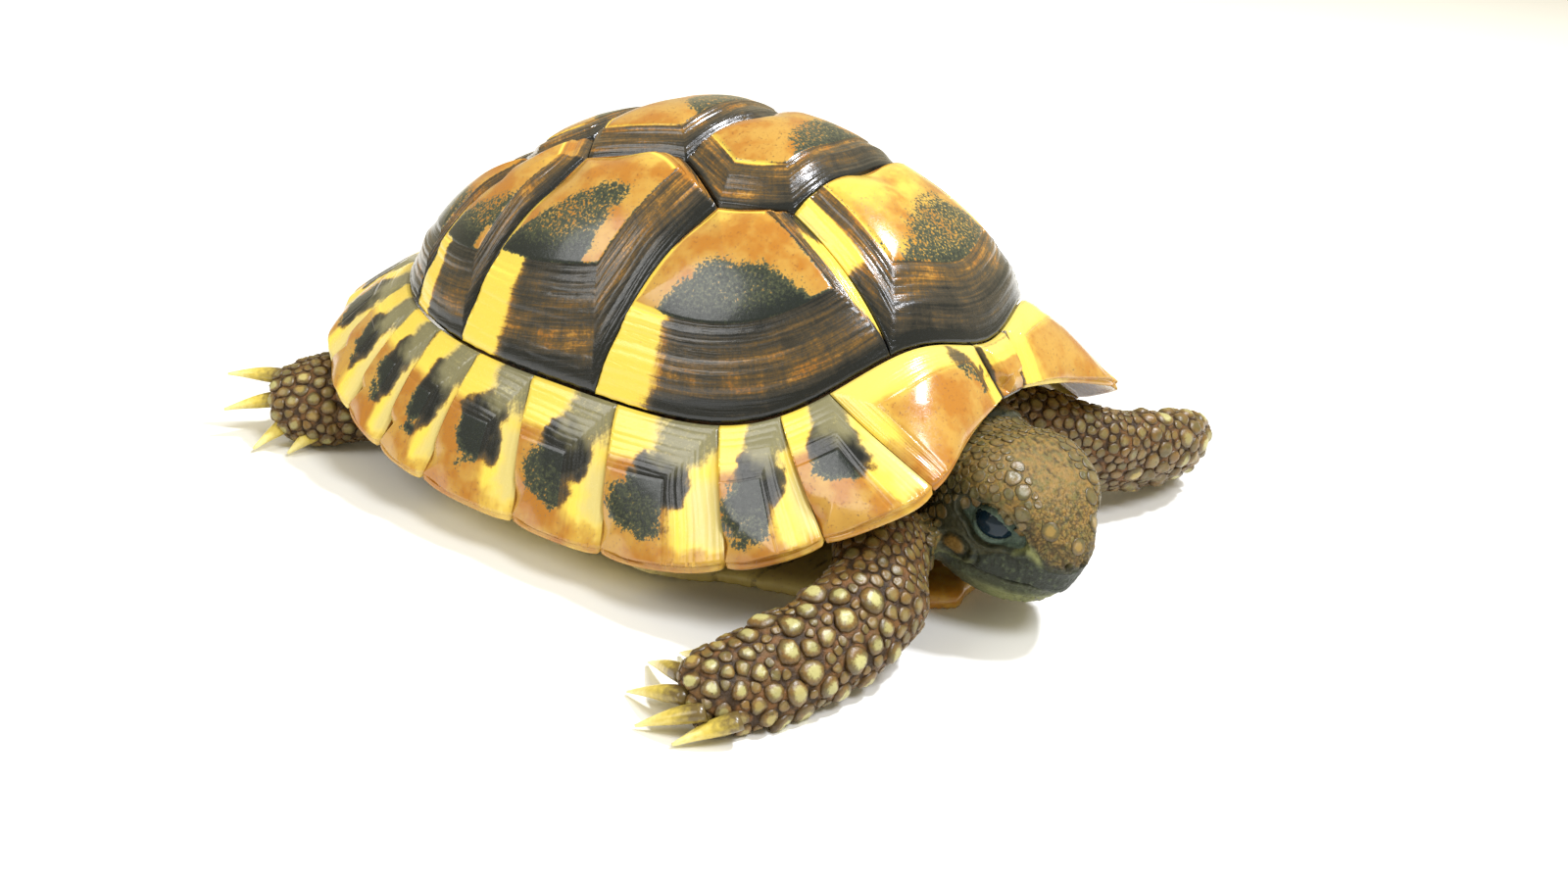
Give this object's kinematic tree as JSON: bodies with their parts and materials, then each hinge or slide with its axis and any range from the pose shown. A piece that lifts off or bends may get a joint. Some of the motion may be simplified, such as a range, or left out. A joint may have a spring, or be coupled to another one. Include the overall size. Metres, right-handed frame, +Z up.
{
  "type": "tortoise",
  "caption": "Still, life-size model of a young domed land tortoise, lying on its plastron with head lowered, forelegs folded outwards and hind feet stretched back.",
  "frame": {"origin": "middle of the plastron's flat underside, at floor level", "axes": "+Z up; the head end faces -Y and the animal's left side is +X"},
  "size_m": [0.1173, 0.1169, 0.0519],
  "materials": {
    "scute_horn": "polished horn with growth rings, orange-tan to olive black, yellow bars along the seams",
    "marginal_horn": "polished horn, orange with a black blotch and a cream front edge on each marginal",
    "plastron_horn": "satin cream-yellow horn with dark bands",
    "skin": "dry reddish-brown scaly skin with pale yellow-green scales",
    "head_skin": "smooth brown-olive head scales with a soft shine",
    "beak_horn": "dark grey-green horn beak with pale streaks",
    "claw_horn": "translucent yellow horn, olive-brown at the root",
    "eye": "wet, nearly black eye"
  },
  "bodies": {
    "root": {"vertebral_1": "scute_horn", "vertebral_2": "scute_horn", "vertebral_3": "scute_horn", "vertebral_4": "scute_horn", "vertebral_5": "scute_horn", "pleural_right_1": "scute_horn", "pleural_right_2": "scute_horn", "pleural_right_3": "scute_horn", "pleural_right_4": "scute_horn", "pleural_left_1": "scute_horn", "pleural_left_2": "scute_horn", "pleural_left_3": "scute_horn", "pleural_left_4": "scute_horn", "marginals_right": "marginal_horn", "marginals_left": "marginal_horn", "nuchal": "marginal_horn", "supracaudal": "marginal_horn", "plastron": "plastron_horn", "trunk": "skin", "neck": "skin", "head": "head_skin", "lower_jaw": "beak_horn", "eye_right": "eye", "eye_left": "eye", "foreleg_right": "skin", "foreleg_left": "skin", "hindleg_right": "skin", "hindleg_left": "skin", "tail": "skin", "tail_spur": "claw_horn", "claw_foreleg_right_1": "claw_horn", "claw_foreleg_right_2": "claw_horn", "claw_foreleg_right_3": "claw_horn", "claw_foreleg_right_4": "claw_horn", "claw_foreleg_right_5": "claw_horn", "claw_foreleg_left_1": "claw_horn", "claw_foreleg_left_2": "claw_horn", "claw_foreleg_left_3": "claw_horn", "claw_foreleg_left_4": "claw_horn", "claw_foreleg_left_5": "claw_horn", "claw_hindleg_right_1": "claw_horn", "claw_hindleg_right_2": "claw_horn", "claw_hindleg_right_3": "claw_horn", "claw_hindleg_right_4": "claw_horn", "claw_hindleg_left_1": "claw_horn", "claw_hindleg_left_2": "claw_horn", "claw_hindleg_left_3": "claw_horn", "claw_hindleg_left_4": "claw_horn"}
  },
  "joints": []
}
